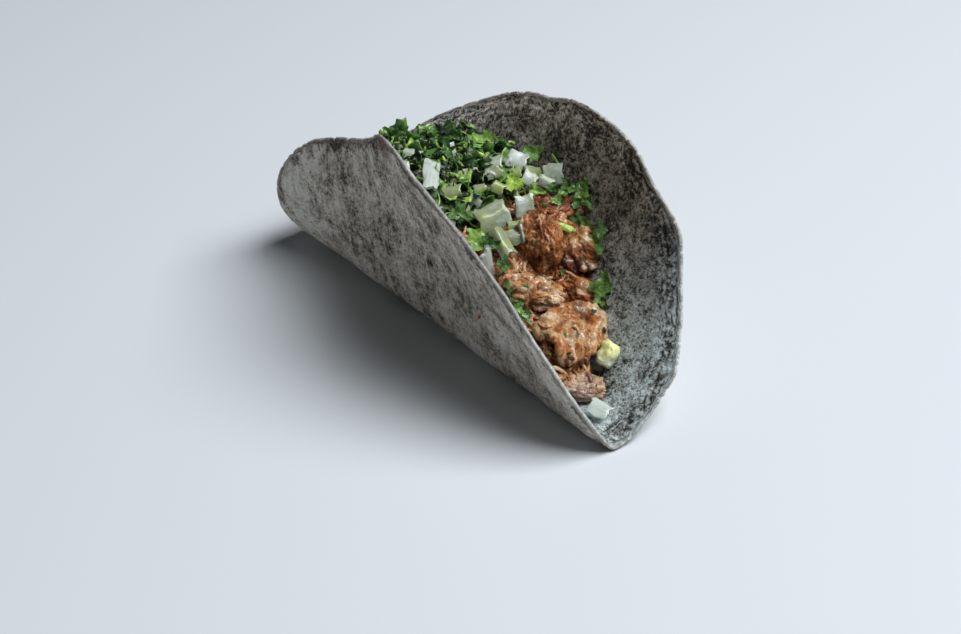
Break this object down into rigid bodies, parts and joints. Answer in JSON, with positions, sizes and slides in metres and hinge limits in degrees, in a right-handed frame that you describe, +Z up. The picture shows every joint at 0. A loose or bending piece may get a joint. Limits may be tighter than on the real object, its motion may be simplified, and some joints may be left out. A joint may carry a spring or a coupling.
{
  "type": "taco",
  "caption": "Open soft taco: a blue-corn tortilla folded over braised pork, topped with chopped onion and coriander.",
  "frame": {"origin": "on the table under the middle of the taco's box", "axes": "+X along the fold towards the low front tip, +Y towards the flap that leans out, +Z up"},
  "size_m": [0.151, 0.0732, 0.0677],
  "materials": {
    "blue_corn": "dry griddled blue-corn dough, dark grey with darker scorch marks and pores",
    "braised_pork": "moist braised pork, orange-brown to red-brown, fibrous",
    "pork_fat": "soft pale pork fat stained by the sauce",
    "herb": "fresh chopped coriander leaf and stem",
    "onion": "raw white onion, moist and slightly translucent",
    "avocado": "soft pale yellow-green dice"
  },
  "bodies": {
    "root": {"tortilla": "blue_corn", "pork_bed": "braised_pork", "pork_chunk_front": "braised_pork", "pork_fat_strip": "pork_fat", "pork_piece_left": "braised_pork", "pork_piece_middle": "braised_pork", "pork_piece_right": "braised_pork", "pork_chunk_back": "braised_pork", "pork_piece_dark": "braised_pork", "pork_chunk_right": "braised_pork", "pork_strip_back": "braised_pork", "pork_piece_front": "braised_pork", "salad_heap": "herb", "onion_flake_front": "onion", "onion_sliver_front": "onion", "onion_sliver_back": "onion", "avocado_dice": "avocado"}
  },
  "joints": []
}
